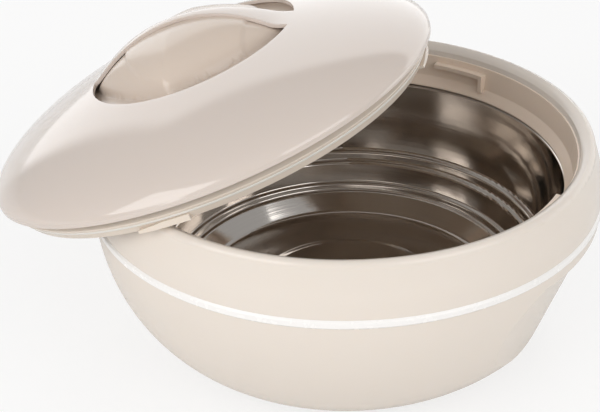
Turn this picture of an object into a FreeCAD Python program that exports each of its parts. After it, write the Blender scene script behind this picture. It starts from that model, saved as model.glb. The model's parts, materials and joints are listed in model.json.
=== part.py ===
import FreeCAD, Part
import math
import os

os.makedirs("parts", exist_ok=True)

# Insulated round casserole with a twist lid that lies leaning on the rim.
# Millimetres, +Z up, origin at the centre of the base on the table.

# Body sizes
body_height = 110.0         # table to rim crest
rim_radius = 121.5          # radius of the rim crest
rim_round = 3.0             # rounding of the rim, outer side
casing_wall = 2.6
ring_drop = 25.9            # crest to top of the trim ring
ring_height = 4.5
ring_outset = 8.6           # trim ring stands out past the rim crest
ring_radius = rim_radius + ring_outset
foot_radius = 78.3
foot_clear = 1.0            # casing bottom above the table
belly_power = 1.747           # fullness of the lower casing beside the ring
foot_power = 1.919           # fullness of the lower casing above the foot
recess_depth = 3.2          # finger hold, depth below the ring
recess_tilt = 19.7
recess_curve = 212.0
recess_turn = -25.0         # direction of the right-hand finger hold
seat_gap = 0.3              # free space kept where curved pieces face each other

# Neck and steel bowl
step_drop = 5.9             # crest to the top edge of the neck collar
step_inset = 5.8
step_radius = rim_radius - step_inset
ledge_drop = 18.0
ledge_inset = 1.5
ledge_radius = step_radius - ledge_inset
steel_drop = 24.0           # crest to the steel edge
steel_inset = 3.9
steel_radius = ledge_radius - steel_inset
steel_wall = 0.7
bowl_floor = 13.0           # inside floor of the bowl above the table
rib_count = 4
rib_start = 47.0            # direction of the first rib's stop
rib_span = 16.0
rib_drop = 9.3              # crest to the top of the ribs
rib_height = 2.2
rib_reach = 2.9             # how far a rib stands out of the wall
stop_width = 2.4

# Lid sizes, heights from the lower edge of the skirt
skirt_play = 4.2            # skirt inside the neck
skirt_radius = ledge_radius - skirt_play
skirt_wall = 4.9            # the lower edge of the skirt is a solid bead
ceiling_height = 20.8
cover_wall = 2.4
parting_play = 1.9
parting_radius = step_radius - parting_play
parting_height = 6.4
dome_overhang = 4.2
dome_radius = parting_radius + dome_overhang
dome_edge = 11.5
dome_rise = 36.5
dome_power = 1.5
crown_power = 1.7
dome_wall = 2.5
tab_count = 4
tab_start = 88.5            # direction of the first tab from the downhill side
tab_span = 13.0
tab_reach = 3.0
tab_height = 3.0

# Handle
handle_turn = 5.3           # direction of the strap from the downhill side
strap_top = 61.5
strap_arc = 82.5
strap_width = 19.0
strap_thick = 3.4
eye_long = 53.5
eye_wide = 57.0
cup_floor = 31.0
cup_radius = 61.0
cup_wall = 2.0

# How the lid lies on the rim
lean_turn = 167.5           # direction in which the lid is pushed off centre
lean_shift = 66.5           # how far it is pushed off centre

# Travel of the lid
lift_travel = 180.0
lock_turn = 16.0


def v(x, y, z):
    return FreeCAD.Vector(x, y, z)


def at(r, z):
    return FreeCAD.Vector(r, 0, z)


def revolve(face):
    return face.revolve(v(0, 0, 0), v(0, 0, 1), 360)


def rounded_wire(corners):
    """Closed outline in the XZ plane from (r, z, corner radius)."""
    count = len(corners)
    cuts = []
    for i in range(count):
        p = at(corners[i][0], corners[i][1])
        a = at(corners[i - 1][0], corners[i - 1][1])
        b = at(corners[(i + 1) % count][0], corners[(i + 1) % count][1])
        radius = corners[i][2]
        if radius <= 0:
            cuts.append((p, None, p))
            continue
        da = (a - p).normalize()
        db = (b - p).normalize()
        half = da.getAngle(db) / 2
        reach = radius / math.tan(half)
        middle = (da + db).normalize()
        centre = p + middle * (radius / math.sin(half))
        cuts.append((p + da * reach, centre - middle * radius, p + db * reach))
    edges = []
    for i in range(count):
        start, mid, end = cuts[i]
        if mid is not None:
            edges.append(Part.Arc(start, mid, end).toShape())
        following = cuts[(i + 1) % count][0]
        if end.distanceToPoint(following) > 1e-6:
            edges.append(Part.makeLine(end, following))
    return Part.Wire(edges)


def turned(corners):
    return revolve(Part.Face(rounded_wire(corners)))


def spline(points):
    curve = Part.BSplineCurve()
    curve.interpolate([at(r, z) for r, z in points])
    return curve.toShape()


def shifted(points, distance):
    """Move an open line of points sideways, to the right of its direction."""
    out = []
    last = len(points) - 1
    for i, (r, z) in enumerate(points):
        ax, az = points[max(i - 1, 0)]
        bx, bz = points[min(i + 1, last)]
        dx = bx - ax
        dz = bz - az
        size = math.hypot(dx, dz)
        out.append((r + dz / size * distance, z - dx / size * distance))
    return out


def closed(edges):
    return Part.Face(Part.Wire(Part.__sortEdges__(edges)))


def sector(radius, z0, z1, start, span):
    piece = Part.makeCylinder(radius, z1 - z0, v(0, 0, z0), v(0, 0, 1), span)
    piece.rotate(v(0, 0, 0), v(0, 0, 1), start)
    return piece


# Levels that follow from the sizes
crest_z = body_height
ring_top = crest_z - ring_drop
ring_low = ring_top - ring_height
lip_height = 5.6            # casing left whole under the ring, above the finger holds
step_z = crest_z - step_drop
ledge_z = crest_z - ledge_drop
steel_z = crest_z - steel_drop
casing_top_r = ring_radius - 1.0

parts = {}


# Lower casing, with the finger holds
def lower_line(low):
    line = []
    steps = 11
    for i in range(steps + 1):
        t = math.pi / 2 * i / steps
        r = foot_radius + (casing_top_r - foot_radius) * math.cos(t) ** (2 / belly_power)
        z = ring_low - (ring_low - low) * math.sin(t) ** (2 / foot_power)
        line.append((r, z))
    return line


outer_line = lower_line(foot_clear)
inner_line = shifted(outer_line, casing_wall)
inner_line[0] = (casing_top_r - casing_wall, ring_low)
inner_line[-1] = (foot_radius, foot_clear + casing_wall)


def line_solid(line, top, bottom):
    """Solid of revolution inside a line that runs from the top to the foot."""
    first = line[0]
    last = line[-1]
    edges = [spline(line)]
    if abs(first[1] - top) > 1e-6:
        edges.append(Part.makeLine(at(first[0], top), at(*first)))
    edges.append(Part.makeLine(at(0, top), at(first[0], top)))
    edges.append(Part.makeLine(at(0, top), at(0, bottom)))
    edges.append(Part.makeLine(at(0, bottom), at(last[0], bottom)))
    if abs(last[1] - bottom) > 1e-6:
        edges.append(Part.makeLine(at(last[0], bottom), at(*last)))
    solid = revolve(closed(edges))
    solid.rotate(v(0, 0, 0), v(0, 0, 1), 90)    # its seam stays clear of the finger holds
    return solid


recess_top = ring_low - lip_height


def recess_tools(inward):
    """Two tools that take away what lies outside a leaning cylinder."""
    tools = []
    radius = recess_curve - inward
    lean = math.radians(recess_tilt)
    axis_x = casing_top_r - recess_depth - recess_curve / math.cos(lean)
    for side in (0, 180):
        corner = v(foot_radius * 0.9, -ring_radius, -20)
        block = Part.makeBox(ring_radius, 2 * ring_radius, recess_top + inward + 20, corner)
        axis = v(math.sin(lean), 0, math.cos(lean))
        foot = v(axis_x, 0, recess_top) - axis * 200
        core = Part.makeCylinder(radius, 400, foot, axis)
        tool = block.cut(core)
        tool.rotate(v(0, 0, 0), v(0, 0, 1), recess_turn + side)
        tools.append(tool)
    return tools


lower_outer = line_solid(outer_line, ring_low, foot_clear)
for tool in recess_tools(0):
    lower_outer = lower_outer.cut(tool)
lower_inner = line_solid(inner_line, ring_low, foot_clear + casing_wall)
for tool in recess_tools(casing_wall):
    lower_inner = lower_inner.cut(tool)
base_hole = Part.makeCylinder(foot_radius - 7.0, 20, v(0, 0, -5))
cover_thick = 2.2
cover_seat = Part.makeCylinder(foot_radius - 3.0, cover_thick, v(0, 0, foot_clear - 0.1))
casing_lower = lower_outer.cut(lower_inner)
ledge = Part.makeCylinder(foot_radius + 2, 2.2, v(0, 0, foot_clear + cover_thick - 0.1))
casing_lower = casing_lower.cut(cover_seat).fuse(ledge.cut(base_hole))
casing_lower = casing_lower.cut(base_hole).removeSplitter()

# Trim ring
ring_in = casing_top_r - casing_wall - 1.6
trim_ring = turned([
    (ring_in, ring_low, 0),
    (ring_radius - 0.9, ring_low, 0),
    (ring_radius, ring_low + 0.9, 0.7),
    (ring_radius, ring_top - 0.9, 0.7),
    (ring_radius - 0.9, ring_top, 0),
    (ring_in, ring_top, 0),
])

# Upper casing with the rolled rim
band_r = rim_radius + rim_round
lip_r = step_radius + 0.7
top_line = [
    (casing_top_r, ring_top),
    (casing_top_r - 0.25, ring_top + 5),
    (casing_top_r - 1.0, ring_top + 11),
    (band_r + 1.9, ring_top + 17),
    (band_r, crest_z - rim_round),
]
edges = [spline(top_line)]
turn = rim_round / math.sqrt(2)
edges.append(Part.Arc(
    at(band_r, crest_z - rim_round),
    at(rim_radius + turn, crest_z - rim_round + turn),
    at(rim_radius, crest_z)).toShape())
edges.append(Part.Arc(
    at(rim_radius, crest_z),
    at(rim_radius - 2.4, crest_z - 1.0),
    at(lip_r + 0.7, crest_z - 3.2)).toShape())
edges.append(Part.makeLine(at(lip_r + 0.7, crest_z - 3.2), at(lip_r, step_z)))
edges.append(Part.makeLine(at(lip_r, step_z), at(step_radius + 2.6, step_z)))
edges.append(Part.makeLine(at(step_radius + 2.6, step_z), at(step_radius + 2.6, step_z - 4)))
edges.append(Part.makeLine(
    at(step_radius + 2.6, step_z - 4), at(casing_top_r - casing_wall, ring_top + 6)))
edges.append(Part.makeLine(
    at(casing_top_r - casing_wall, ring_top + 6), at(casing_top_r - casing_wall, ring_top)))
edges.append(Part.makeLine(at(casing_top_r - casing_wall, ring_top), at(casing_top_r, ring_top)))
casing_upper = revolve(closed(edges))

# Neck collar with its bayonet ribs
collar_out = step_radius + 2.3
collar_low = steel_z + 0.5
neck_collar = turned([
    (step_radius, step_z, 0.4),
    (collar_out, step_z, 0),
    (collar_out, collar_low, 0),
    (steel_radius + 0.1, collar_low, 0),
    (steel_radius + 0.1, collar_low + 0.6, 0),
    (ledge_radius, ledge_z, 1.2),
])


rib_z = crest_z - rib_drop
rib_in = ledge_radius - rib_reach
for k in range(rib_count):
    start = rib_start + k * 360.0 / rib_count
    rib = sector(step_radius + 0.6, rib_z - rib_height, rib_z, start, rib_span)
    stop_angle = math.degrees(stop_width / step_radius)
    stop = sector(step_radius + 0.6, ledge_z - 1.5, rib_z - rib_height / 2, start, stop_angle)
    rib = rib.fuse(stop)
    rib = rib.cut(Part.makeCylinder(rib_in, body_height))
    neck_collar = neck_collar.fuse(rib)
neck_collar = neck_collar.removeSplitter()

# Steel bowl, inside line from the edge to the centre
depth = steel_z - bowl_floor
bowl_inside = [
    (steel_radius, steel_z - 0.4, 1.2),
    (steel_radius - 5.3, bowl_floor + depth * 0.418, 1.4),
    (steel_radius - 8.5, bowl_floor + depth * 0.407, 1.4),
    (steel_radius - 9.2, bowl_floor + depth * 0.347, 1.4),
    (steel_radius - 12.4, bowl_floor + depth * 0.336, 1.4),
    (steel_radius - 14.7, bowl_floor + depth * 0.185, 1.2),
    (steel_radius - 17.1, bowl_floor + depth * 0.177, 1.2),
    (steel_radius - 17.9, bowl_floor + depth * 0.136, 1.2),
    (steel_radius - 20.3, bowl_floor + depth * 0.127, 1.4),
    (steel_radius - 28.5, bowl_floor, 4.0),
]


def offset_corners(corners, distance):
    """Offset an open line with mitred corners; arcs grow or shrink to match."""
    out = []
    last = len(corners) - 1
    for i, (r, z, c) in enumerate(corners):
        ar, az = corners[max(i - 1, 0)][:2]
        br, bz = corners[min(i + 1, last)][:2]
        ins = (r - ar, z - az)
        ons = (br - r, bz - z)
        if i == 0:
            ins = ons
        if i == last:
            ons = ins
        li = math.hypot(*ins)
        lo = math.hypot(*ons)
        ni = (-ins[1] / li, ins[0] / li)
        no = (-ons[1] / lo, ons[0] / lo)
        mx = ni[0] + no[0]
        mz = ni[1] + no[1]
        scale = 2.0 / (mx * mx + mz * mz)
        bend = ins[0] * ons[1] - ins[1] * ons[0]
        radius = c
        if c > 0:
            radius = c + (distance if bend < 0 else -distance)
            radius = max(radius, 0.3)
        out.append((r + mx * scale * distance, z + mz * scale * distance, radius))
    return out


ring_mark = 50.0            # radius of the raised round field in the bowl floor
mark_rise = 0.9
inside = list(bowl_inside)
inside.append((ring_mark + 2.0, bowl_floor, 2.0))
inside.append((ring_mark - 2.0, bowl_floor + mark_rise, 2.0))
inside.append((0.0, bowl_floor + mark_rise, 0))
flange_out = collar_out - 0.3
flange = [(flange_out, steel_z - 0.4, 0)]
inner_side = flange + inside
outer_side = offset_corners(inner_side, steel_wall)
outer_side[-1] = (0.0, inner_side[-1][1] - steel_wall, 0)
outer_side[0] = (flange_out, inner_side[0][1] - steel_wall, 0)
below = [(r, z, c) for r, z, c in outer_side]
steel_bowl = turned(inner_side + below[::-1])

# Gasket between the steel flange and the collar
bowl_gasket = turned([
    (steel_radius + 3.0, steel_z - 0.4, 0),
    (flange_out - 0.8, steel_z - 0.4, 0),
    (flange_out - 0.8, collar_low, 0),
    (steel_radius + 3.0, collar_low, 0),
])

# Insulation of the body
foam_out = shifted(outer_line, casing_wall + seat_gap)
foam_top_r = casing_top_r - casing_wall - seat_gap
foam_low = foot_clear + cover_thick + 2.4
foam_line = [(foam_top_r, ring_low)] + foam_out[1:-1]
foam_foot = foot_clear + casing_wall + seat_gap
foam_line.append((foot_radius, foam_foot))
foam_top = steel_z - 0.4 - steel_wall - seat_gap
foam_top = min(foam_top, ring_top + 6)
foam_body = line_solid(foam_line, ring_low, foam_foot)
for tool in recess_tools(casing_wall + seat_gap):
    foam_body = foam_body.cut(tool)
foam_body = foam_body.cut(Part.makeCylinder(ring_radius, foam_low))
neck_r = ring_in - seat_gap
foam_body = foam_body.fuse(Part.makeCylinder(neck_r, foam_top - ring_low, v(0, 0, ring_low)))
hollow = offset_corners(inner_side, steel_wall + seat_gap)[1:]
hollow = [(r, z, c) for r, z, c in hollow]
hollow[-1] = (0.0, inner_side[-1][1] - steel_wall - seat_gap, 0)
hollow[0] = (hollow[0][0], foam_top + 1, 0)
cavity = turned(hollow + [(0.0, foam_top + 1, 0)])
body_foam = foam_body.cut(cavity).removeSplitter()

# Base cover with its plug, screws and pads
cover_low = foot_clear - 0.1
cover_r = foot_radius - 3.0 - 0.15
base_cover = Part.makeCylinder(cover_r, cover_thick, v(0, 0, cover_low))
base_cover = base_cover.cut(Part.makeCylinder(8.2, 1.0, v(0, 0, cover_low)))
base_cover = base_cover.cut(Part.makeCylinder(6.0, 10, v(0, 0, cover_low)))
base_plug = Part.makeCylinder(8.0, cover_low + 1.0)
base_plug = base_plug.fuse(Part.makeCylinder(5.9, cover_thick - 1.0, v(0, 0, cover_low + 1.0)))
pad_r = 7.0
pad_sink = 1.1
pad_ring = 54.0
screw_ring = foot_radius - 5.2
screw_head = 1.9
screw_r = 1.0
pads = []
screws = []
for k in range(4):
    a = math.radians(90 * k + 45)
    px = pad_ring * math.cos(a)
    py = pad_ring * math.sin(a)
    pad = Part.makeCylinder(pad_r, cover_low + pad_sink, v(px, py, 0))
    rim = [e for e in pad.Edges if abs(e.BoundBox.ZMax) < 1e-6 and e.BoundBox.XLength > 1]
    pad = pad.makeFillet(0.5, rim[:1])
    base_cover = base_cover.cut(Part.makeCylinder(pad_r + 0.15, pad_sink, v(px, py, cover_low)))
    pads.append(pad)
    b = math.radians(90 * k)
    sx = screw_ring * math.cos(b)
    sy = screw_ring * math.sin(b)
    shaft = Part.makeCylinder(screw_r, 3.6, v(sx, sy, cover_low + 0.9))
    head = Part.makeCylinder(screw_head, 0.9, v(sx, sy, cover_low))
    slot = Part.makeBox(2.4, 0.6, 0.4, v(sx - 1.2, sy - 0.3, cover_low))
    cross = Part.makeBox(0.6, 2.4, 0.4, v(sx - 0.3, sy - 1.2, cover_low))
    screws.append(head.fuse(shaft).cut(slot).cut(cross))
    base_cover = base_cover.cut(Part.makeCylinder(screw_head + 0.1, 0.9, v(sx, sy, cover_low)))
    base_cover = base_cover.cut(Part.makeCylinder(screw_r + 0.1, 10, v(sx, sy, cover_low)))
    casing_lower = casing_lower.cut(Part.makeCylinder(screw_r + 0.05, 10, v(sx, sy, cover_low)))

# Lid, inner cover with skirt and tabs
inner_skirt = skirt_radius - skirt_wall
top_height = ceiling_height + cover_wall
ceiling_r = skirt_radius - 20.0
cover_solid = turned([
    (inner_skirt, 0, 0.4),
    (skirt_radius, 0, 0.6),
    (parting_radius, parting_height - 0.4, 0),
    (parting_radius, parting_height, 0),
    (parting_radius - 1.8, parting_height + 2.0, 0),
    (skirt_radius - 0.65, parting_height + 2.8, 1.0),
    (skirt_radius - 3.7, ceiling_height - 5.8, 4.0),
    (skirt_radius - 12.5, top_height - 0.6, 6.0),
    (ceiling_r, top_height, 10.0),
    (0, top_height, 0),
    (0, ceiling_height, 0),
    (ceiling_r, ceiling_height, 8.0),
    (skirt_radius - 14.0, ceiling_height - 0.4, 5.0),
    (skirt_radius - 5.8, ceiling_height - 7.4, 3.0),
    (skirt_radius - 3.6, parting_height + 1.9, 2.0),
    (skirt_radius - 3.6, tab_height + 2.2, 1.2),
    (inner_skirt, tab_height + 0.6, 1.2),
])
for k in range(tab_count):
    start = tab_start + k * 360.0 / tab_count
    tab = sector(skirt_radius + tab_reach, 0.0, tab_height, start, tab_span)
    tab = tab.cut(Part.makeCylinder(skirt_radius - 0.6, 30, v(0, 0, -5)))
    ramp_z = tab_height - 1.6
    a0 = math.radians(start)
    a1 = math.radians(start + tab_span * 0.5)
    r0 = skirt_radius + tab_reach + 3
    low = v(r0 * math.cos(a0), r0 * math.sin(a0), ramp_z)
    high = v(r0 * math.cos(a1), r0 * math.sin(a1), tab_height)
    up0 = low + v(0, 0, 6)
    up1 = high + v(0, 0, 6)
    wedge = Part.Face(Part.makePolygon([low, high, up1, up0, low]))
    inward = v(-math.cos((a0 + a1) / 2), -math.sin((a0 + a1) / 2), 0) * 12
    tab = tab.cut(wedge.extrude(inward))
    cover_solid = cover_solid.fuse(tab)
lid_inner_cover = cover_solid.removeSplitter()


# Lid, outer shell
def dome_z(r):
    share = min(max(r / dome_radius, 0.0), 1.0)
    t = math.acos(share ** (dome_power / 2))
    return dome_edge + dome_rise * math.sin(t) ** (2 / crown_power)


shell_line = [
    (parting_radius, parting_height),
    (parting_radius + 2.9, parting_height + 1.7),
    (dome_radius - 0.15, dome_edge - 1.1),
    (dome_radius - 0.15, dome_edge + 1.3),
]
for r in (115.0, 109.0, 101.0, 91.0, 80.0, 68.0, 56.0, 45.0):
    shell_line.append((r * dome_radius / 118.0, dome_z(r * dome_radius / 118.0)))
under_line = shifted(shell_line, -dome_wall)
under_line[0] = (parting_radius - 1.8, parting_height + 2.0)
edge_line = [(r, z) for r, z in under_line]
dome_face = closed([
    spline(shell_line),
    Part.makeLine(at(*shell_line[-1]), at(*under_line[-1])),
    spline(under_line),
    Part.makeLine(at(*under_line[0]), at(*shell_line[0])),
])
dome_shell = revolve(dome_face)


def ellipse_block(a, b, z0, z1):
    outline = Part.Ellipse(v(0, 0, z0), max(a, b), min(a, b)).toShape()
    if b > a:
        outline.rotate(v(0, 0, z0), v(0, 0, 1), 90)
    return Part.Face(Part.Wire([outline])).extrude(v(0, 0, z1 - z0))


eyes = ellipse_block(eye_long, eye_wide, 0, 100)
dome_shell = dome_shell.cut(eyes)

strap_axis_z = strap_top - strap_arc
half = strap_width / 2
low_z = strap_top - strap_thick


def strap_wire(shrink):
    w = half - shrink
    top = strap_top - shrink
    bottom = low_z + shrink
    pts = [v(0, -w, bottom + 1.2), v(0, -w + 0.7, top - 1.1), v(0, 0, top),
           v(0, w - 0.7, top - 1.1), v(0, w, bottom + 1.2)]
    upper = Part.BSplineCurve()
    upper.interpolate(pts)
    lower = Part.makePolygon([v(0, w, bottom + 1.2), v(0, w - 1.2, bottom),
                              v(0, -w + 1.2, bottom), v(0, -w, bottom + 1.2)])
    return Part.Wire([upper.toShape()] + lower.Edges)


reach_angle = 47.0
strap = Part.Face(strap_wire(0)).revolve(v(0, 0, strap_axis_z), v(0, 1, 0), 2 * reach_angle)
strap.rotate(v(0, 0, strap_axis_z), v(0, 1, 0), -reach_angle)
keep = turned([
    (0, -20, 0),
    (eye_long + 8.0, -20, 0),
    (eye_long + 8.0, 120, 0),
    (0, 120, 0),
])
under_face = closed([
    spline(under_line[3:]),
    Part.makeLine(at(*under_line[-1]), at(0, under_line[-1][1] + 2.0)),
    Part.makeLine(at(0, under_line[-1][1] + 2.0), at(0, -40)),
    Part.makeLine(at(0, -40), at(under_line[3][0], -40)),
    Part.makeLine(at(under_line[3][0], -40), at(*under_line[3])),
])
inside_dome = revolve(under_face).cut(ellipse_block(eye_long - 0.5, eye_wide, -60, 100))
strap = strap.common(keep).cut(inside_dome)
lid_dome = dome_shell.fuse(strap).removeSplitter()

# Lid, cup under the openings
cup_low = cup_floor - cup_wall
cup_top = 35.0
cup = turned([
    (0, cup_low, 0),
    (cup_radius - 4.0, cup_low, 1.5),
    (cup_radius - 2.0, cup_top - cup_wall, 1.0),
    (cup_radius, cup_top - cup_wall, 0),
    (cup_radius, cup_top - 0.6, 0),
    (cup_radius - 4.2, cup_top - 0.6, 1.0),
    (cup_radius - 6.0, cup_floor, 1.5),
    (0, cup_floor, 0),
])
hill_rows = [
    (30.0, 55.0, 40.5),
    (32.5, 54.0, 38.0),
    (36.0, 52.0, 29.0),
    (40.0, 50.5, 21.5),
    (45.0, 47.0, 15.0),
    (50.0, 42.0, 11.0),
    (55.0, 36.0, 9.0),
    (62.0, 32.0, 8.3),
]


def lens_wire(a, b, z):
    pts = []
    steps = 16
    for i in range(steps):
        t = 2 * math.pi * i / steps
        c = math.cos(t)
        s = math.sin(t)
        x = a * math.copysign(abs(c) ** 1.15, c)
        y = b * math.copysign(abs(s) ** 1.15, s)
        pts.append(v(x, y, z))
    curve = Part.BSplineCurve()
    curve.interpolate(pts, PeriodicFlag=True)
    return Part.Wire([curve.toShape()])


def hill(less):
    rows = [lens_wire(a - less, b - less, z) for z, a, b in hill_rows]
    return Part.makeLoft(rows, True)


beam = Part.makeCylinder(strap_arc - strap_thick - seat_gap, 200, v(0, -100, strap_axis_z), v(0, 1, 0))
panel_round = 43.3
panel_centre = 77.8
panel_cut = Part.makeCylinder(panel_round, 200, v(0, -100, panel_centre), v(0, 1, 0))
outer_hill = hill(0)
inner_hill = hill(1.5)
web = outer_hill.cut(panel_cut.cut(inner_hill)).common(beam)
cup_bounds = Part.makeCylinder(cup_radius - 7.5, 80, v(0, 0, cup_floor - 0.5))
web = web.common(cup_bounds)
hollow_hill = hill(4.2).common(
    Part.makeCylinder(strap_arc - strap_thick - 3.5, 200, v(0, -100, strap_axis_z), v(0, 1, 0)))
grip_cup = cup.fuse(web).cut(hollow_hill).removeSplitter()

# Lid, insulation, seal and plug
foam_base = top_height + seat_gap
lid_foam_line = shifted(shell_line, -(dome_wall + seat_gap))
foam_pts = [(r, z) for r, z in lid_foam_line if z > foam_base + 1.2 and r < dome_radius - 21.0]
hole_r = cup_radius + seat_gap
top_r = foam_pts[-1][0]
edges = [spline(foam_pts)]
edges.append(Part.makeLine(at(*foam_pts[-1]), at(foam_pts[-1][0], foam_base)))
edges.append(Part.makeLine(at(foam_pts[-1][0], foam_base), at(foam_pts[0][0], foam_base)))
edges.append(Part.makeLine(at(foam_pts[0][0], foam_base), at(*foam_pts[0])))
lid_foam = revolve(closed(edges))
core_r = top_r + 0.01
lid_foam = lid_foam.fuse(Part.makeCylinder(core_r, cup_low - seat_gap - foam_base, v(0, 0, foam_base)))
lid_foam = lid_foam.cut(Part.makeCylinder(hole_r, 60, v(0, 0, cup_low - seat_gap))).removeSplitter()

plug_r = 6.0
lid_inner_cover = lid_inner_cover.cut(Part.makeCylinder(plug_r + 0.1, 60, v(0, 0, -5)))
lid_inner_cover = lid_inner_cover.cut(Part.makeCylinder(plug_r + 2.3, 1.0, v(0, 0, ceiling_height)))
lid_plug = Part.makeCylinder(plug_r + 2.1, 1.0, v(0, 0, ceiling_height))
lid_plug = lid_plug.fuse(
    Part.makeCylinder(plug_r, cover_wall - 1.0, v(0, 0, ceiling_height + 1.0)))

seal_in = skirt_radius - 0.6
seal_low = tab_height + 0.4
seal_high = seal_low + 1.5


def skirt_r(z):
    """Outer radius of the conical skirt."""
    return skirt_radius + (parting_radius - skirt_radius) * z / (parting_height - 0.4)


groove = turned([
    (seal_in, seal_low, 0),
    (parting_radius + 1.0, seal_low, 0),
    (parting_radius + 1.0, seal_high, 0),
    (seal_in, seal_high, 0),
])
lid_inner_cover = lid_inner_cover.cut(groove)
lid_seal = turned([
    (seal_in + 0.1, seal_low + 0.1, 0.2),
    (skirt_r(seal_low) + 0.2, seal_low + 0.1, 0.3),
    (skirt_r(seal_high) + 0.2, seal_high - 0.1, 0.3),
    (seal_in + 0.1, seal_high - 0.1, 0.2),
])


# Place the lid: it hooks over the rim with the skirt and rests with its ceiling
def lid_axes(tilt):
    a = math.radians(lean_turn)
    t = math.radians(tilt)
    down = v(math.cos(t) * math.cos(a), math.cos(t) * math.sin(a), -math.sin(t))
    up = v(math.sin(t) * math.cos(a), math.sin(t) * math.sin(a), math.cos(t))
    return down, up.cross(down), up


def rim_gap(point):
    """Distance of a point from the round of the rim."""
    side_step = math.hypot(point.x, point.y) - rim_radius
    rise = max(point.z - (crest_z - rim_round), 0.0)
    return math.hypot(side_step, rise) - rim_round


def skirt_gap(tilt, height):
    down, side, up = lid_axes(tilt)
    a = math.radians(lean_turn)
    centre = v(lean_shift * math.cos(a), lean_shift * math.sin(a), height)
    best = 1e9
    for i in range(721):
        t = math.pi * i / 720
        p = centre + down * (inner_skirt * math.cos(t)) + side * (inner_skirt * math.sin(t))
        if abs(math.hypot(p.x, p.y) - rim_radius) < 12:
            best = min(best, rim_gap(p))
    return best


def settle(tilt):
    low = crest_z - 30.0
    high = crest_z + 30.0
    for i in range(40):
        middle = (low + high) / 2
        if skirt_gap(tilt, middle) < seat_gap or middle < low:
            low = middle
        else:
            high = middle
    return high


def ceiling_gap(tilt, height):
    down, side, up = lid_axes(tilt)
    a = math.radians(lean_turn)
    centre = v(lean_shift * math.cos(a), lean_shift * math.sin(a), height)
    tube = v(rim_radius * math.cos(a), rim_radius * math.sin(a), crest_z - rim_round)
    return ceiling_height - (tube - centre).dot(up) - rim_round


low_tilt = 2.0
high_tilt = 40.0
for i in range(40):
    tilt = (low_tilt + high_tilt) / 2
    if ceiling_gap(tilt, settle(tilt)) > seat_gap:
        low_tilt = tilt
    else:
        high_tilt = tilt
lid_tilt = (low_tilt + high_tilt) / 2
lid_height = settle(lid_tilt)
down, side, up = lid_axes(lid_tilt)
lean = math.radians(lean_turn)
lid_centre = v(lean_shift * math.cos(lean), lean_shift * math.sin(lean), lid_height)
place = FreeCAD.Matrix(
    down.x, side.x, up.x, lid_centre.x,
    down.y, side.y, up.y, lid_centre.y,
    down.z, side.z, up.z, lid_centre.z,
    0, 0, 0, 1)
spin = FreeCAD.Matrix()
spin.rotateZ(math.radians(handle_turn))

parts["casing_lower"] = casing_lower
parts["trim_ring"] = trim_ring
parts["casing_upper"] = casing_upper
parts["neck_collar"] = neck_collar
parts["steel_bowl"] = steel_bowl
parts["bowl_gasket"] = bowl_gasket
parts["body_foam"] = body_foam
parts["base_cover"] = base_cover
parts["base_plug"] = base_plug
for k in range(4):
    parts["foot_pad_%d" % (k + 1)] = pads[k]
    parts["base_screw_%d" % (k + 1)] = screws[k]
lid_parts = {
    "lid_dome": (lid_dome, True),
    "grip_cup": (grip_cup, True),
    "lid_inner_cover": (lid_inner_cover, False),
    "lid_foam": (lid_foam, False),
    "lid_plug": (lid_plug, False),
    "lid_seal": (lid_seal, False),
}
for name, (shape, turns) in lid_parts.items():
    move = place.multiply(spin) if turns else place
    parts[name] = shape.copy()
    parts[name].Placement = FreeCAD.Placement(move)

for name, shape in parts.items():
    solids = shape.Solids
    if len(solids) != 1:
        print("check", name, "has", len(solids), "solids")
    if not shape.isValid():
        print("check", name, "is not valid")
    body = solids[0] if solids else shape
    body.exportStep("parts/%s.step" % name)
    box = shape.BoundBox
    print("%-18s %8.1f mm3  z %.2f to %.2f" % (name, shape.Volume, box.ZMin, box.ZMax))
print("lid tilt %.3f, centre %.3f %.3f %.3f, axis %.5f %.5f %.5f" % (
    lid_tilt, lid_centre.x, lid_centre.y, lid_centre.z, up.x, up.y, up.z))
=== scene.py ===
import json
import math
import bmesh
import bpy
from mathutils import Matrix, Vector


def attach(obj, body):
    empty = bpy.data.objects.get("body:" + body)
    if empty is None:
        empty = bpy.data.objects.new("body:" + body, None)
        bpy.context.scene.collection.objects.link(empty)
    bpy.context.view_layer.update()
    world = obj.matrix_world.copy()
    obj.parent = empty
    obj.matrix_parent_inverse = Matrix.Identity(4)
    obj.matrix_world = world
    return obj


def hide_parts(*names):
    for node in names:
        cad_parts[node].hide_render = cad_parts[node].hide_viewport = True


# Insulated casserole with its twist lid leaning on the rim
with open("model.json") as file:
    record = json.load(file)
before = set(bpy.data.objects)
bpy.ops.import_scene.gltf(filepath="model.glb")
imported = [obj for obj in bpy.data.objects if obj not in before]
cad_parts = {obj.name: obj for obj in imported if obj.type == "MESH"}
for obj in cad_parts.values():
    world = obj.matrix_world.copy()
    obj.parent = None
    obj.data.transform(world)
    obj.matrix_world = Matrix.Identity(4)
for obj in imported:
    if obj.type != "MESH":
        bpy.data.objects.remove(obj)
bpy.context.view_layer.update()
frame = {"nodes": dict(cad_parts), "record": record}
nodes = frame["nodes"]
print("frame loaded, nodes:", len(nodes))

cameraView = {
    "lens": 78.0,
    "place": (0.0, -0.5846, 0.4093),
    "pitch": 30.47,
    "roll": -0.54,
    "shiftX": -0.079,
}

studio = {
    "floorColor": (0.90, 0.895, 0.885),
    "floorSize": 6.0,
    "floorGlow": 0.72,   # share of plain white that the camera sees in the floor
    "boardWhite": 1.7,   # the white board behind, as gloss sees it
    "boardDark": 0.42,
    "skyWhite": 0.92,
    "skyTop": 0.46,      # the light from above is weaker
    "skyFrom": 0.55,     # height of direction where it starts to fall, and where it has
    "skyTo": 0.72,
}


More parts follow.
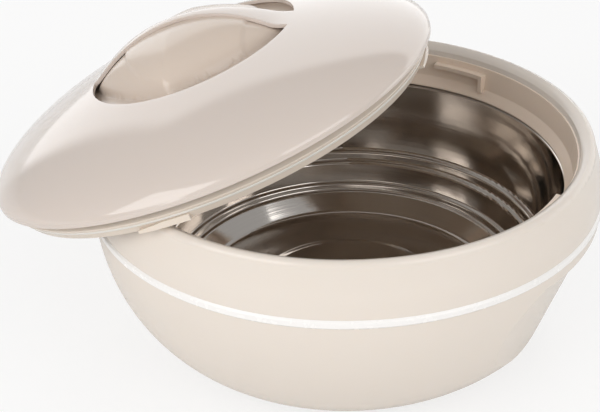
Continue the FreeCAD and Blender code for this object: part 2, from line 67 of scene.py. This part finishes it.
def addCamera():
    bpy.ops.object.select_all(action="DESELECT")
    bpy.ops.object.camera_add(location=cameraView["place"])
    camera = bpy.context.object
    tilt = Matrix.Rotation(math.radians(90 - cameraView["pitch"]), 3, "X")
    roll = Matrix.Rotation(math.radians(cameraView["roll"]), 3, "Z")
    camera.rotation_euler = (tilt @ roll).to_euler()
    camera.data.lens = cameraView["lens"]
    camera.data.sensor_width = 36.0
    camera.data.shift_x = cameraView["shiftX"]
    camera.data.clip_start = 0.01
    camera.data.clip_end = 50.0
    bpy.context.scene.camera = camera


def nodeTree(name):
    material = bpy.data.materials.new(name)
    material.use_nodes = True
    tree = material.node_tree
    tree.nodes.clear()
    return material, tree


def addNode(tree, kind, x, y, **values):
    node = tree.nodes.new(kind)
    node.location = (x, y)
    for key, value in values.items():
        if hasattr(node, key):
            setattr(node, key, value)
        else:
            node.inputs[key.replace("_", " ")].default_value = value
    return node


def join(tree, fromNode, fromSocket, toNode, toSocket):
    tree.links.new(fromNode.outputs[fromSocket], toNode.inputs[toSocket])


# Group: slow colour drift and fine moulded grain, used by every plastic
def makeMouldGroup():
    group = bpy.data.node_groups.new("mouldedSkin", "ShaderNodeTree")
    face = group.interface
    face.new_socket("Color", in_out="INPUT", socket_type="NodeSocketColor")
    for label, start in (("Drift", 0.03), ("Roughness", 0.2), ("Grain Scale", 900.0),
                         ("Grain", 0.2), ("Wave", 0.1), ("Dust", 0.1)):
        made = face.new_socket(label, in_out="INPUT", socket_type="NodeSocketFloat")
        made.default_value = start
    face.new_socket("Color", in_out="OUTPUT", socket_type="NodeSocketColor")
    face.new_socket("Roughness", in_out="OUTPUT", socket_type="NodeSocketFloat")
    face.new_socket("Height", in_out="OUTPUT", socket_type="NodeSocketFloat")
    start = addNode(group, "NodeGroupInput", -1100, 0)
    end = addNode(group, "NodeGroupOutput", 700, 0)
    place = addNode(group, "ShaderNodeTexCoord", -1100, -300)
    slow = addNode(group, "ShaderNodeTexNoise", -800, 200, Scale=9.0, Detail=3.0)
    specks = addNode(group, "ShaderNodeTexNoise", -800, -50, Scale=260.0, Detail=4.0)
    grain = addNode(group, "ShaderNodeTexNoise", -800, -300, Detail=2.0)
    wave = addNode(group, "ShaderNodeTexNoise", -800, -550, Scale=34.0, Detail=2.0)
    for texture in (slow, specks, grain, wave):
        join(group, place, "Object", texture, "Vector")
    join(group, start, "Grain Scale", grain, "Scale")
    centred = addNode(group, "ShaderNodeMath", -560, 200, operation="SUBTRACT")
    centred.inputs[1].default_value = 0.5
    join(group, slow, "Fac", centred, 0)
    driftBy = addNode(group, "ShaderNodeMath", -380, 200, operation="MULTIPLY")
    join(group, centred, "Value", driftBy, 0)
    join(group, start, "Drift", driftBy, 1)
    lift = addNode(group, "ShaderNodeMath", -200, 200, operation="ADD")
    lift.inputs[1].default_value = 1.0
    join(group, driftBy, "Value", lift, 0)
    tint = addNode(group, "ShaderNodeVectorMath", 0, 200, operation="SCALE")
    join(group, start, "Color", tint, 0)
    join(group, lift, "Value", tint, "Scale")
    join(group, tint, "Vector", end, "Color")
    dustCut = addNode(group, "ShaderNodeMapRange", -560, -50)
    dustCut.inputs["From Min"].default_value = 0.52
    dustCut.inputs["From Max"].default_value = 0.72
    join(group, specks, "Fac", dustCut, "Value")
    dustBy = addNode(group, "ShaderNodeMath", -380, -50, operation="MULTIPLY")
    join(group, dustCut, "Result", dustBy, 0)
    join(group, start, "Dust", dustBy, 1)
    rough = addNode(group, "ShaderNodeMath", -200, -50, operation="ADD")
    join(group, dustBy, "Value", rough, 0)
    join(group, start, "Roughness", rough, 1)
    join(group, rough, "Value", end, "Roughness")
    grainBy = addNode(group, "ShaderNodeMath", -380, -300, operation="MULTIPLY")
    join(group, grain, "Fac", grainBy, 0)
    join(group, start, "Grain", grainBy, 1)
    waveBy = addNode(group, "ShaderNodeMath", -380, -550, operation="MULTIPLY")
    join(group, wave, "Fac", waveBy, 0)
    join(group, start, "Wave", waveBy, 1)
    both = addNode(group, "ShaderNodeMath", -200, -400, operation="ADD")
    join(group, grainBy, "Value", both, 0)
    join(group, waveBy, "Value", both, 1)
    join(group, both, "Value", end, "Height")
    return group


mouldGroup = makeMouldGroup()


plasticBase = {
    "drift": 0.03,        # slow change of colour over the piece
    "grainScale": 900.0,
    "grain": 0.15,
    "wave": 0.1,          # faint unevenness of a moulded wall
    "dust": 0.05,
    "bump": 0.12,
    "bumpSize": 0.0004,
    "ior": 1.5,
    "coat": 0.0,
    "coatRough": 0.05,
    "glow": 0.0,          # light let in below the surface
    "glowReach": (0.004, 0.003, 0.002),
}


def plastic(name, changes):
    look = {**plasticBase, **changes}
    material, tree = nodeTree(name)
    out = addNode(tree, "ShaderNodeOutputMaterial", 500, 0)
    shader = addNode(tree, "ShaderNodeBsdfPrincipled", 200, 0)
    skin = addNode(tree, "ShaderNodeGroup", -300, 0)
    skin.node_tree = mouldGroup
    skin.inputs["Color"].default_value = (*look["color"], 1)
    skin.inputs["Drift"].default_value = look["drift"]
    skin.inputs["Roughness"].default_value = look["rough"]
    skin.inputs["Grain Scale"].default_value = look["grainScale"]
    skin.inputs["Grain"].default_value = look["grain"]
    skin.inputs["Wave"].default_value = look["wave"]
    skin.inputs["Dust"].default_value = look["dust"]
    bump = addNode(tree, "ShaderNodeBump", -50, -250)
    bump.inputs["Strength"].default_value = look["bump"]
    bump.inputs["Distance"].default_value = look["bumpSize"]
    join(tree, skin, "Height", bump, "Height")
    join(tree, skin, "Color", shader, "Base Color")
    join(tree, skin, "Roughness", shader, "Roughness")
    join(tree, bump, "Normal", shader, "Normal")
    shader.inputs["IOR"].default_value = look["ior"]
    shader.inputs["Coat Weight"].default_value = look["coat"]
    shader.inputs["Coat Roughness"].default_value = look["coatRough"]
    shader.inputs["Subsurface Weight"].default_value = look["glow"]
    shader.inputs["Subsurface Radius"].default_value = look["glowReach"]
    join(tree, shader, "BSDF", out, "Surface")
    return material


plasticLooks = {
    "creamShell": {"color": (0.735, 0.665, 0.595), "rough": 0.20, "grain": 0.05, "wave": 0.25, "glow": 0.1,
                   "dust": 0.015},
    "whiteTrim": {"color": (0.86, 0.84, 0.82), "rough": 0.25, "grain": 0.2},
    "neckPlastic": {"color": (0.82, 0.68, 0.56), "rough": 0.28, "glow": 0.15},
    # lidShell: the same cream plastic as creamShell, given a darker colour as painted shade for the darker
    # reflection the dome shows
    "lidShell": {"color": (0.625, 0.545, 0.490), "rough": 0.10, "grain": 0.03, "wave": 0.12, "glow": 0.1,
                 "coat": 0.4, "dust": 0.01},
    # gripPlasticShaded: the same cream plastic, darkened and warmed as painted shade for the finger hollow
    # under the strap
    "gripPlasticShaded": {"color": (0.62, 0.52, 0.44), "rough": 0.20, "glow": 0.1, "dust": 0.01},
    "lidInside": {"color": (0.72, 0.63, 0.54), "rough": 0.22, "glow": 0.1},
    "siliconeRing": {"color": (0.78, 0.75, 0.70), "rough": 0.45, "grain": 0.3},
    "foamCore": {"color": (0.80, 0.72, 0.45), "rough": 0.8, "grain": 1.0, "grainScale": 420.0, "bump": 0.6},
    "baseShell": {"color": (0.66, 0.59, 0.52), "rough": 0.45, "grain": 0.6, "grainScale": 1500.0},
    "padRubber": {"color": (0.50, 0.47, 0.43), "rough": 0.7, "grain": 0.8},
}


steelBase = {
    "bumpSize": 0.0002,
    "smoothest": 0.7,     # roughness varies between these shares of its value
    "roughest": 1.4,
    "markTone": 0.90,     # the turning marks are this much darker
}


# Polished steel with fine turning marks round the axis
def steel(name, changes):
    look = {**steelBase, **changes}
    material, tree = nodeTree(name)
    out = addNode(tree, "ShaderNodeOutputMaterial", 700, 0)
    shader = addNode(tree, "ShaderNodeBsdfPrincipled", 400, 0)
    place = addNode(tree, "ShaderNodeTexCoord", -1100, 0)
    split = addNode(tree, "ShaderNodeSeparateXYZ", -900, 0)
    join(tree, place, "Object", split, "Vector")
    flat = addNode(tree, "ShaderNodeCombineXYZ", -720, 80)
    join(tree, split, "X", flat, "X")
    join(tree, split, "Y", flat, "Y")
    away = addNode(tree, "ShaderNodeVectorMath", -540, 80, operation="LENGTH")
    join(tree, flat, "Vector", away, 0)
    lines = addNode(tree, "ShaderNodeCombineXYZ", -360, 0)
    join(tree, away, "Value", lines, "X")
    join(tree, split, "Z", lines, "Y")
    marks = addNode(tree, "ShaderNodeTexNoise", -180, 60, Scale=look["lines"], Detail=3.0)
    join(tree, lines, "Vector", marks, "Vector")
    cloud = addNode(tree, "ShaderNodeTexNoise", -180, -220, Scale=14.0, Detail=3.0)
    join(tree, place, "Object", cloud, "Vector")
    bump = addNode(tree, "ShaderNodeBump", 100, -200)
    bump.inputs["Strength"].default_value = look["bump"]
    bump.inputs["Distance"].default_value = look["bumpSize"]
    join(tree, marks, "Fac", bump, "Height")
    rough = addNode(tree, "ShaderNodeMapRange", 100, 0)
    rough.inputs["To Min"].default_value = look["rough"] * look["smoothest"]
    rough.inputs["To Max"].default_value = look["rough"] * look["roughest"]
    join(tree, cloud, "Fac", rough, "Value")
    tone = addNode(tree, "ShaderNodeMix", 100, 250, data_type="RGBA")
    tone.inputs["A"].default_value = (*look["color"], 1)
    tone.inputs["B"].default_value = (*[c * look["markTone"] for c in look["color"]], 1)
    join(tree, marks, "Fac", tone, "Factor")
    tree.links.new(tone.outputs[2], shader.inputs["Base Color"])
    join(tree, rough, "Result", shader, "Roughness")
    join(tree, bump, "Normal", shader, "Normal")
    shader.inputs["Metallic"].default_value = 1.0
    join(tree, shader, "BSDF", out, "Surface")
    return material


steelLooks = {
    "bowlSteel": {"color": (0.70, 0.655, 0.61), "rough": 0.09, "lines": 700.0, "bump": 0.08},
    "screwSteel": {"color": (0.62, 0.62, 0.62), "rough": 0.3, "lines": 900.0, "bump": 0.1},
}

materials = {name: plastic(name, look) for name, look in plasticLooks.items()}
materials.update({name: steel(name, look) for name, look in steelLooks.items()})

nodeFinish = {
    "casing_lower": "creamShell", "casing_upper": "creamShell", "trim_ring": "whiteTrim",
    "neck_collar": "neckPlastic", "steel_bowl": "bowlSteel", "bowl_gasket": "siliconeRing",
    "body_foam": "foamCore", "base_cover": "baseShell", "base_plug": "baseShell",
    "lid_dome": "lidShell", "grip_cup": "gripPlasticShaded", "lid_inner_cover": "lidInside",
    "lid_foam": "foamCore", "lid_plug": "baseShell", "lid_seal": "siliconeRing",
}
for k in range(1, 5):
    nodeFinish["foot_pad_%d" % k] = "padRubber"
    nodeFinish["base_screw_%d" % k] = "screwSteel"


def dressNodes():
    for name, finish in nodeFinish.items():
        node = nodes[name]
        node.data.materials.clear()
        node.data.materials.append(materials[finish])
        for face in node.data.polygons:
            face.material_index = 0


lidPose = {
    "joint": "lid_twist",
    "handleTurn": 5.3,   # degrees from the way the lid leans to the strap
}


# The lid leans on the rim: X runs along its strap and Z up the axis it twists on
def lidMatrix():
    joints = frame["record"]["behaviour"]["joints"]
    twist = next(joint for joint in joints if joint["name"] == lidPose["joint"])
    up = Vector(twist["axis"]).normalized()
    down = Vector((up.x, up.y, 0)).normalized()
    down = (down - down.dot(up) * up).normalized()
    along = Matrix.Rotation(math.radians(lidPose["handleTurn"]), 3, up) @ down
    across = up.cross(along)
    pose = Matrix((along, across, up)).transposed().to_4x4()
    pose.translation = Vector(twist["pos_m"])
    return pose


def placeOnLid(piece, material, sharp):
    bpy.ops.object.mode_set(mode="OBJECT")
    piece.data.materials.clear()
    piece.data.materials.append(material)
    bpy.ops.object.shade_smooth_by_angle(angle=math.radians(sharp))
    piece.matrix_world = lidMatrix()
    bpy.ops.object.transform_apply(location=True, rotation=True, scale=True)
    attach(piece, "lid")


def applyAll(piece):
    for modifier in list(piece.modifiers):
        bpy.ops.object.modifier_apply(modifier=modifier.name)


lidShell = {
    "radius": 0.11785, "edgeLow": 0.0104, "edgeTop": 0.0125,   # upright edge band
    "domeRadius": 0.118, "domeEdge": 0.0115, "domeRise": 0.0365,
    "domePower": 0.75, "crownPower": 1.7,   # fullness of the dome's outline
    "eyeLong": 0.0538, "eyeWide": 0.0584, "eyeShift": -0.0027,   # both finger openings as one ellipse
    "sides": 192, "rings": 46, "ringPower": 1.7,
    "wall": 0.0019, "edgeRound": 0.0006, "roundSteps": 3, "roundFrom": 50,
    "strapTop": 0.0587, "strapArc": 0.0808, "strapCrown": 0.0006,
    "strapWaist": 0.0073, "strapFlare": 4.812, "strapEnd": 0.01902,   # narrow in the middle
    "strapSteps": 5, "strapRows": 41, "blend": 0.0012,
    "slack": 0.0002, "insideEye": 0.995, "bandSlack": 0.0001, "sharp": 40,
}


def domeHeight(away):
    share = min(max(away / lidShell["domeRadius"], 0.0), 1.0)
    turn = math.acos(share ** lidShell["domePower"])
    return lidShell["domeEdge"] + lidShell["domeRise"] * math.sin(turn) ** (2 / lidShell["crownPower"])


def strapHeight(x):
    arc = lidShell["strapArc"]
    return lidShell["strapTop"] - arc + math.sqrt(arc ** 2 - x ** 2)


def smoothTop(a, b, blend):
    return (a + b + math.sqrt((a - b) ** 2 + blend ** 2)) / 2


def extrudeRing(centre, sizeBy, shift):
    bpy.ops.mesh.extrude_region_move(TRANSFORM_OT_translate={"value": (0, 0, 0)})
    bpy.ops.transform.resize(value=(sizeBy[0], sizeBy[1], 1), center_override=centre)
    bpy.ops.transform.translate(value=shift)


def addRings(outer, inner, shift, rings, power):
    before = (*outer, 0.0)
    for ring in range(1, rings + 1):
        share = (ring / rings) ** power
        now = (outer[0] + (inner[0] - outer[0]) * share,
               outer[1] + (inner[1] - outer[1]) * share, shift * share)
        extrudeRing((before[2], 0, 0), (now[0] / before[0], now[1] / before[1]), (now[2] - before[2], 0, 0))
        before = now


# Domed cover with its two finger openings and the strap that divides them
def addLidShell():
    look = lidShell
    bpy.ops.object.select_all(action="DESELECT")
    bpy.ops.mesh.primitive_circle_add(vertices=look["sides"], radius=look["radius"], fill_type="NOTHING",
                                      location=(0, 0, 0))
    shell = bpy.context.object
    shell.name = "lid_shell"
    bpy.ops.object.mode_set(mode="EDIT")
    bpy.ops.mesh.select_all(action="SELECT")
    bpy.ops.transform.translate(value=(0, 0, look["edgeLow"]))
    bpy.ops.mesh.extrude_region_move(
        TRANSFORM_OT_translate={"value": (0, 0, look["edgeTop"] - look["edgeLow"])})
    addRings((look["radius"],) * 2, (look["eyeLong"], look["eyeWide"]), look["eyeShift"], look["rings"],
             look["ringPower"])
    mesh = bmesh.from_edit_mesh(shell.data)
    step = 2 * math.pi / look["sides"]
    reach = look["eyeWide"] * math.sin(look["strapSteps"] * step) + look["slack"]
    for vert in mesh.verts:
        vert.select_set(vert.select and abs(vert.co.y) < reach)
    mesh.select_flush_mode()
    bmesh.update_edit_mesh(shell.data)
    bpy.ops.mesh.bridge_edge_loops(number_cuts=look["strapRows"], interpolation="LINEAR")
    bpy.ops.mesh.select_all(action="SELECT")
    bpy.ops.mesh.normals_make_consistent(inside=False)
    bpy.ops.object.mode_set(mode="OBJECT")
    for vert in shell.data.vertices:
        x, y = vert.co.x, vert.co.y
        away = math.hypot(x, y)
        eyeShare = ((x - look["eyeShift"]) / look["eyeLong"]) ** 2 + (y / look["eyeWide"]) ** 2
        if eyeShare < look["insideEye"]:
            width = min(look["strapWaist"] + look["strapFlare"] * x * x, look["strapEnd"])
            share = y / reach
            vert.co.y = share * width / 2
            top = strapHeight(x) - look["strapCrown"] * share ** 2
            vert.co.z = smoothTop(domeHeight(math.hypot(x, vert.co.y)), top, look["blend"])
        elif away < look["radius"] - look["bandSlack"]:
            vert.co.z = domeHeight(away)
    if shell.data.polygons[len(shell.data.polygons) // 2].normal.z < 0:
        shell.data.flip_normals()
    wall = shell.modifiers.new("wall", "SOLIDIFY")
    wall.thickness = look["wall"]
    wall.offset = -1
    rounding = shell.modifiers.new("rounding", "BEVEL")
    rounding.width = look["edgeRound"]
    rounding.segments = look["roundSteps"]
    rounding.limit_method = "ANGLE"
    rounding.angle_limit = math.radians(look["roundFrom"])
    applyAll(shell)
    placeOnLid(shell, materials["lidShell"], look["sharp"])
    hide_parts("lid_dome")
    print("lid shell ready")


gripPad = {
    "sides": 240, "rings": 84, "centre": (0.0006, 0.0006), "wall": 0.002,
    "outer": (0.0590, 0.0612), "floor": 0.0360,
    "lip": 0.0011, "lipFrom": 0.99,   # the outermost ring rises to the dome's underside
    "long": 0.055, "wide": 0.049, "rise": 0.021, "power": 1.3,   # the pillow
    "underStrap": 0.0016, "meet": 0.0015, "sunk": 0.0012,
    "panelRise": 0.0012, "panelEdge": 0.07,
    "panelShift": -0.003, "panelLong": 0.0335, "panelWide": 0.0488,
    "bowRight": 1.6, "bowLeft": 3.4,   # roundness of the panel's outline on each side
    "sharp": 60,
}


def gripHeight(x, y):
    look = gripPad
    power = look["power"]
    share = (abs(x / look["long"]) ** power + abs(y / look["wide"]) ** power) ** (2 / power)
    if share >= 1:
        return look["floor"]
    hill = look["floor"] + look["rise"] * math.sqrt(1 - share)
    limit = strapHeight(x) - look["underStrap"]
    hill = hill + limit - smoothTop(hill, limit, look["meet"])
    off = x - look["panelShift"]
    bow = look["bowRight"] if off > 0 else look["bowLeft"]
    inside = 1 - abs(off / look["panelLong"]) ** bow - abs(y / look["panelWide"]) ** bow
    step = min(max(inside / look["panelEdge"], 0), 1)
    step = step * step * (3 - 2 * step)
    return max(hill - look["sunk"] + look["panelRise"] * step, look["floor"])


# Pillow under the strap with its raised panel, and the floor of the finger openings
def addGripPad():
    look = gripPad
    bpy.ops.object.select_all(action="DESELECT")
    bpy.ops.mesh.primitive_circle_add(vertices=look["sides"], radius=1, fill_type="NOTHING",
                                      location=(0, 0, 0))
    pad = bpy.context.object
    pad.name = "grip_pad"
    bpy.ops.object.mode_set(mode="EDIT")
    bpy.ops.mesh.select_all(action="SELECT")
    bpy.ops.transform.resize(value=(*look["outer"], 1), center_override=(0, 0, 0))
    addRings(look["outer"], look["centre"], 0, look["rings"], 1.0)
    bpy.ops.mesh.merge(type="CENTER")
    bpy.ops.mesh.select_all(action="SELECT")
    bpy.ops.mesh.normals_make_consistent(inside=False)
    bpy.ops.object.mode_set(mode="OBJECT")
    for vert in pad.data.vertices:
        x, y = vert.co.x, vert.co.y
        vert.co.z = gripHeight(x, y)
        if (x / look["outer"][0]) ** 2 + (y / look["outer"][1]) ** 2 > look["lipFrom"]:
            vert.co.z += look["lip"]
    if pad.data.polygons[len(pad.data.polygons) // 2].normal.z < 0:
        pad.data.flip_normals()
    wall = pad.modifiers.new("wall", "SOLIDIFY")
    wall.thickness = look["wall"]
    wall.offset = -1
    applyAll(pad)
    placeOnLid(pad, materials["gripPlasticShaded"], look["sharp"])
    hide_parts("grip_cup")
    print("grip pad ready")


def addStage():
    bpy.ops.object.select_all(action="DESELECT")
    bpy.ops.mesh.primitive_plane_add(size=studio["floorSize"], location=(0, 0, 0))
    floor = bpy.context.object
    floor.name = "floor"
    material, tree = nodeTree("studioFloor")
    out = addNode(tree, "ShaderNodeOutputMaterial", 600, 0)
    matte = addNode(tree, "ShaderNodeBsdfPrincipled", 0, 0)
    matte.inputs["Base Color"].default_value = (*studio["floorColor"], 1)
    matte.inputs["Roughness"].default_value = 0.35
    white = addNode(tree, "ShaderNodeEmission", 0, -400)
    white.inputs["Color"].default_value = (1, 1, 1, 1)
    white.inputs["Strength"].default_value = 1.0
    path = addNode(tree, "ShaderNodeLightPath", -400, 300)
    share = addNode(tree, "ShaderNodeMath", -100, 300, operation="MULTIPLY")
    share.inputs[1].default_value = studio["floorGlow"]
    join(tree, path, "Is Camera Ray", share, 0)
    mix = addNode(tree, "ShaderNodeMixShader", 350, 0)
    join(tree, share, "Value", mix, 0)
    tree.links.new(matte.outputs[0], mix.inputs[1])
    tree.links.new(white.outputs[0], mix.inputs[2])
    join(tree, mix, "Shader", out, "Surface")
    floor.data.materials.append(material)


# The board is where each of these three sums of the direction's x, y, z is above zero
boardEdges = (
    {"sum": (1, 0.85, 0), "soft": 0.06},    # its left edge
    {"sum": (0, 0.93, -1), "soft": 0.06},   # its top edge
    {"sum": (0, 1, 0), "soft": 0.1},        # only behind the object
)


def addBoardMask(tree, place):
    shares = []
    for row, side in enumerate(boardEdges):
        soft = side["soft"]
        total = addNode(tree, "ShaderNodeVectorMath", -300, -300 - 200 * row, operation="DOT_PRODUCT")
        total.inputs[1].default_value = side["sum"]
        join(tree, place, "Generated", total, 0)
        edge = addNode(tree, "ShaderNodeMapRange", -150, -300 - 200 * row, interpolation_type="SMOOTHSTEP")
        edge.inputs["From Min"].default_value = -soft
        edge.inputs["From Max"].default_value = soft
        join(tree, total, "Value", edge, "Value")
        shares.append(edge)
    first = addNode(tree, "ShaderNodeMath", 0, -500, operation="MULTIPLY")
    join(tree, shares[0], "Result", first, 0)
    join(tree, shares[1], "Result", first, 1)
    both = addNode(tree, "ShaderNodeMath", 150, -500, operation="MULTIPLY")
    join(tree, first, "Value", both, 0)
    join(tree, shares[2], "Result", both, 1)
    return both


def addWorld():
    world = bpy.data.worlds.new("studioWorld")
    bpy.context.scene.world = world
    world.use_nodes = True
    tree = world.node_tree
    tree.nodes.clear()
    out = addNode(tree, "ShaderNodeOutputWorld", 700, 0)
    back = addNode(tree, "ShaderNodeBackground", 500, 0)
    place = addNode(tree, "ShaderNodeTexCoord", -500, 0)
    split = addNode(tree, "ShaderNodeSeparateXYZ", -300, 0)
    join(tree, place, "Generated", split, "Vector")
    ramp = addNode(tree, "ShaderNodeValToRGB", -50, 0)
    stops = ramp.color_ramp.elements
    stops[0].position = 0.0
    stops[0].color = (studio["skyWhite"],) * 3 + (1,)
    stops[1].position = 1.0
    stops[1].color = (studio["skyTop"],) * 3 + (1,)
    for position, value in ((studio["skyFrom"], studio["skyWhite"]), (studio["skyTo"], studio["skyTop"])):
        stop = stops.new(position)
        stop.color = (value,) * 3 + (1,)
    join(tree, split, "Z", ramp, "Fac")
    board = addBoardMask(tree, place)
    tone = addNode(tree, "ShaderNodeMapRange", -50, -300)
    tone.inputs["To Min"].default_value = studio["boardDark"]
    tone.inputs["To Max"].default_value = studio["boardWhite"]
    join(tree, board, "Value", tone, "Value")
    path = addNode(tree, "ShaderNodeLightPath", -50, 300)
    gloss = addNode(tree, "ShaderNodeMix", 100, -100, data_type="RGBA")
    join(tree, path, "Is Glossy Ray", gloss, "Factor")
    tree.links.new(ramp.outputs["Color"], gloss.inputs[6])
    tree.links.new(tone.outputs["Result"], gloss.inputs[7])
    seen = addNode(tree, "ShaderNodeMix", 250, 100, data_type="RGBA")
    tree.links.new(gloss.outputs[2], seen.inputs[6])
    seen.inputs[7].default_value = (1, 1, 1, 1)
    join(tree, path, "Is Camera Ray", seen, "Factor")
    tree.links.new(seen.outputs[2], back.inputs["Color"])
    join(tree, back, "Background", out, "Surface")


lamps = {
    "keyBox": {"place": (-0.95, -0.95, 0.85), "aim": (0, 0, 0.06), "size": (1.1, 0.9), "power": 8.5},
    "fillBox": {"place": (0.95, -0.95, 0.85), "aim": (0, 0, 0.06), "size": (1.0, 0.9), "power": 5.5},
}


def addLamp(name, place, aim, size, power):
    bpy.ops.object.select_all(action="DESELECT")
    bpy.ops.object.light_add(type="AREA", location=place)
    lamp = bpy.context.object
    lamp.name = name
    lamp.data.shape = "RECTANGLE"
    lamp.data.size, lamp.data.size_y = size
    lamp.data.energy = power
    lamp.rotation_euler = (Vector(aim) - Vector(place)).to_track_quat("-Z", "Y").to_euler()


addCamera()
addStage()
addWorld()
for lampName, look in lamps.items():
    addLamp(lampName, look["place"], look["aim"], look["size"], look["power"])
dressNodes()
print("camera, studio and finishes ready")
addLidShell()
addGripPad()

scene = bpy.context.scene
scene.view_settings.view_transform = "Standard"
